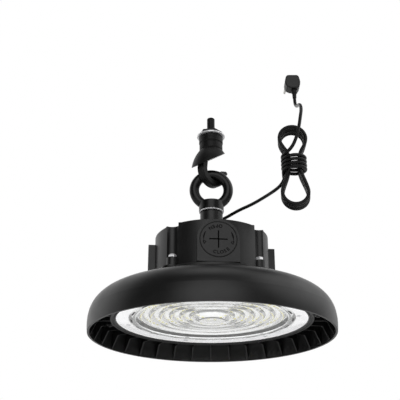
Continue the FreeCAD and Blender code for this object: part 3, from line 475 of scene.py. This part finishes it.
def metal(name, low, high, roughness, metallic=1.0):
    material, shader = new_material(name, low, roughness, metallic)
    spread(material, noise(material, 90.0, 3.0), low, high, shader.inputs["Base Color"])
    bump(material, shader, noise(material, 2400.0, 1.0), 0.05, 0.0001)
    return material


def moulded(name, low, high, roughness, grain=900.0, strength=0.1, specular=0.5):
    """Plastic, rubber or a board, with a fine moulded grain."""
    material, shader = new_material(name, low, roughness, specular=specular)
    spread(material, noise(material, 22.0, 3.0), low, high, shader.inputs["Base Color"])
    bump(material, shader, noise(material, grain), strength, 0.0002)
    return material


def painted_glow(material, strength, colour):
    """Painted light: a little glow on a part that is no lamp, standing in for light that comes through the
    lens, and on the lens itself for a milky veil.
    """
    shader = material.node_tree.nodes["Principled BSDF"]
    shader.inputs["Emission Color"].default_value = (*colour, 1)
    shader.inputs["Emission Strength"].default_value = strength


def clear_plastic(name):
    material, shader = new_material(name, (1.0, 1.0, 1.0), 0.08)
    shader.inputs["Transmission Weight"].default_value = 1.0
    shader.inputs["IOR"].default_value = 1.49
    bump(material, shader, noise(material, 160.0), 0.03, 0.0003)
    return material


def dress(material, *names):
    """Gives CAD nodes a material in place of their plain one."""
    for name in names:
        for slot in nodes[name].material_slots:
            slot.material = material


bell_black = powder_coat("bell_black", (0.0045, 0.0045, 0.0046), (0.0065, 0.0065, 0.0066), 0.36)
housing_black = powder_coat("housing_black", (0.005, 0.005, 0.0051), (0.0075, 0.0075, 0.0076), 0.38)
forged_black = powder_coat("forged_black", (0.003, 0.003, 0.003), (0.0045, 0.0045, 0.0045), 0.32,
                           grain=900.0, specular=0.38)
hook_black = powder_coat("hook_black", (0.0035, 0.0035, 0.0035), (0.005, 0.005, 0.005), 0.46,
                         grain=900.0, specular=0.25)
plastic_black = moulded("plastic_black", (0.004, 0.004, 0.004), (0.006, 0.006, 0.006), 0.4)
cap_black = moulded("cap_black", (0.010, 0.010, 0.010), (0.013, 0.013, 0.013), 0.42)
cord_black = moulded("cord_black", (0.0045, 0.0045, 0.0045), (0.006, 0.006, 0.006), 0.4,
                     grain=500.0, strength=0.02, specular=0.25)
seal_grey = moulded("seal_grey", (0.03, 0.03, 0.03), (0.05, 0.05, 0.05), 0.7)
zinc = metal("zinc", (0.84, 0.84, 0.86), (0.94, 0.94, 0.95), 0.3, metallic=0.4)
nickel = metal("nickel", (0.70, 0.69, 0.66), (0.80, 0.79, 0.76), 0.2)
board_white = moulded("board_white", (0.82, 0.83, 0.83), (0.90, 0.90, 0.90), 0.5)
phosphor = moulded("phosphor", (0.50, 0.44, 0.0), (0.58, 0.52, 0.01), 0.6)
green_board = moulded("green_board", (0.03, 0.16, 0.07), (0.04, 0.2, 0.09), 0.5)
thermal = moulded("thermal", (0.35, 0.36, 0.38), (0.42, 0.43, 0.45), 0.8)
component = moulded("component", (0.04, 0.04, 0.045), (0.06, 0.06, 0.065), 0.5)
terminal = moulded("terminal", (0.3, 0.31, 0.33), (0.36, 0.37, 0.39), 0.5)
gasket_white = moulded("gasket_white", (0.84, 0.84, 0.84), (0.90, 0.90, 0.90), 0.6)
# The cap's printed marks, and painted shade in its cross slot.
print_and_shade_black = moulded("print_and_shade_black", (0.002, 0.002, 0.002), (0.003, 0.003, 0.003), 0.75, specular=0.05)
# Painted shade for the lens flange's slots.
slot_shade_grey = moulded("slot_shade_grey", (0.05, 0.05, 0.05), (0.08, 0.08, 0.08), 0.6)
lens_clear = clear_plastic("lens_clear")
# Painted light: the LED board, its packages, the lens gasket and the lens glow a little, though the LEDs are
# unlit.
painted_glow(board_white, 0.5, (0.95, 0.96, 0.96))
painted_glow(gasket_white, 0.3, (0.95, 0.95, 0.96))
painted_glow(phosphor, 0.4, (0.80, 0.70, 0.0))
painted_glow(lens_clear, 0.045, (0.97, 0.98, 0.97))

dress(bell_black, "heat_sink")
dress(housing_black, "driver_housing")
dress(forged_black, "eye_nut", "hook_nut", "bezel_screws")
dress(hook_black, "hook")
dress(plastic_black, "gland_body", "gland_nut", "gland_locknut", "bezel_ring", "plug_body")
dress(cap_black, "port_cap")
dress(cord_black, "plug_relief")
dress(seal_grey, "housing_gasket", "port_seal", "gland_seal")
dress(gasket_white, "lens_gasket")
dress(zinc, "hook_washer", "eye_stud", "lens_screws", "eye_set_screw", "board_standoffs")
dress(nickel, "plug_pins")
dress(board_white, "led_board")
dress(phosphor, "led_packages")
dress(green_board, "driver_board")
dress(thermal, "thermal_pad")
dress(component, "transformer", "capacitors", "choke", "port_socket")
dress(terminal, "terminal_block")
dress(lens_clear, "lens")
for piece, materials in ((mains_cord, [cord_black]), (hexagon_screws, [zinc]), (painted_slot_shade, [slot_shade_grey]),
                         (toothed_washer, [zinc, housing_black]), (cap_marks, [print_and_shade_black])):
    for material in materials:
        piece.data.materials.append(material)


# ------------------------------------------------------------------ stage and light

FLOOR_HALF = 60.0        # metres
FLOOR_LEVEL = -2.8       # metres
WASH_LEVEL = -1.0        # metres
SOFT_LIGHTS = [
    # azimuth, elevation, full within, gone beyond, strength
    (-2, 17, 12, 36, 1.47),
    (84, 38, 12, 40, 1.25),
    (-140, 12, 35, 62, 0.9),
    (152, 12, 28, 52, 0.8),
    (0, 86, 6, 24, 1.1),
]
DIM_SKY = 0.015


def make_stage():
    size = FLOOR_HALF
    mesh = bpy.data.meshes.new("floor")
    corners = [(-size, -size), (size, -size), (size, size), (-size, size)]
    mesh.from_pydata([(x, y, FLOOR_LEVEL) for x, y in corners], [], [(0, 1, 2, 3)])
    floor = bpy.data.objects.new("floor", mesh)
    bpy.context.scene.collection.objects.link(floor)
    material, shader = new_material("floor_pale", (0.85, 0.85, 0.85), 0.9)
    spread(material, noise(material, 3.0), (0.83, 0.83, 0.83), (0.87, 0.87, 0.87),
           shader.inputs["Base Color"])
    mesh.materials.append(material)


def toward(azimuth, elevation):
    """A direction; azimuth 0 is the front, where the camera stands, and 90 the right."""
    flat = math.cos(math.radians(elevation))
    return (flat * math.sin(math.radians(azimuth)), -flat * math.cos(math.radians(azimuth)),
            math.sin(math.radians(elevation)))


def math_node(tree, first, second, operation="ADD"):
    """The result of two values, where the second may be a plain number."""
    made = tree.nodes.new("ShaderNodeMath")
    made.operation = operation
    tree.links.new(first, made.inputs[0])
    if isinstance(second, float):
        made.inputs[1].default_value = second
    else:
        tree.links.new(second, made.inputs[1])
    return made.outputs["Value"]


def soft_light(tree, direction, azimuth, elevation, full, gone, strength):
    """A round patch of sky with a soft edge."""
    facing = tree.nodes.new("ShaderNodeVectorMath")
    facing.operation = "DOT_PRODUCT"
    facing.inputs[1].default_value = toward(azimuth, elevation)
    tree.links.new(direction, facing.inputs[0])
    patch = tree.nodes.new("ShaderNodeMapRange")
    patch.interpolation_type = "SMOOTHSTEP"
    patch.inputs["From Min"].default_value = math.cos(math.radians(gone))
    patch.inputs["From Max"].default_value = math.cos(math.radians(full))
    patch.inputs["To Max"].default_value = strength
    tree.links.new(facing.outputs["Value"], patch.inputs["Value"])
    return patch.outputs["Result"]


def make_sky():
    """Soft lights on a dim sky for the object, and a plain white background behind it and its lens."""
    world = bpy.data.worlds.new("studio")
    bpy.context.scene.world = world
    world.use_nodes = True
    tree = world.node_tree
    direction = tree.nodes.new("ShaderNodeTexCoord").outputs["Generated"]
    patches = [soft_light(tree, direction, *light) for light in SOFT_LIGHTS]
    total = patches[0]
    for patch in patches[1:]:
        total = math_node(tree, total, patch)
    lighting = tree.nodes["Background"]
    lighting.inputs["Color"].default_value = (1, 1, 1, 1)
    tree.links.new(math_node(tree, total, DIM_SKY), lighting.inputs["Strength"])
    backdrop = tree.nodes.new("ShaderNodeBackground")
    backdrop.inputs["Color"].default_value = (1, 1, 1, 1)
    rays = tree.nodes.new("ShaderNodeLightPath")
    seen = math_node(tree, rays.outputs["Is Camera Ray"], rays.outputs["Is Transmission Ray"], "MAXIMUM")
    chosen = tree.nodes.new("ShaderNodeMixShader")
    tree.links.new(seen, chosen.inputs["Fac"])
    tree.links.new(lighting.outputs["Background"], chosen.inputs[1])
    tree.links.new(backdrop.outputs["Background"], chosen.inputs[2])
    tree.links.new(chosen.outputs["Shader"], tree.nodes["World Output"].inputs["Surface"])


def make_floor_wash():
    """A square light that shines down on the floor under the object."""
    data = bpy.data.lights.new("floor_wash", "AREA")
    data.shape = "SQUARE"
    data.size = 3.0
    data.energy = 15.0
    light = bpy.data.objects.new("floor_wash", data)
    light.location = (0.0, 0.0, WASH_LEVEL)
    bpy.context.scene.collection.objects.link(light)


make_stage()
make_sky()
make_floor_wash()
bpy.context.scene.view_settings.view_transform = "Standard"
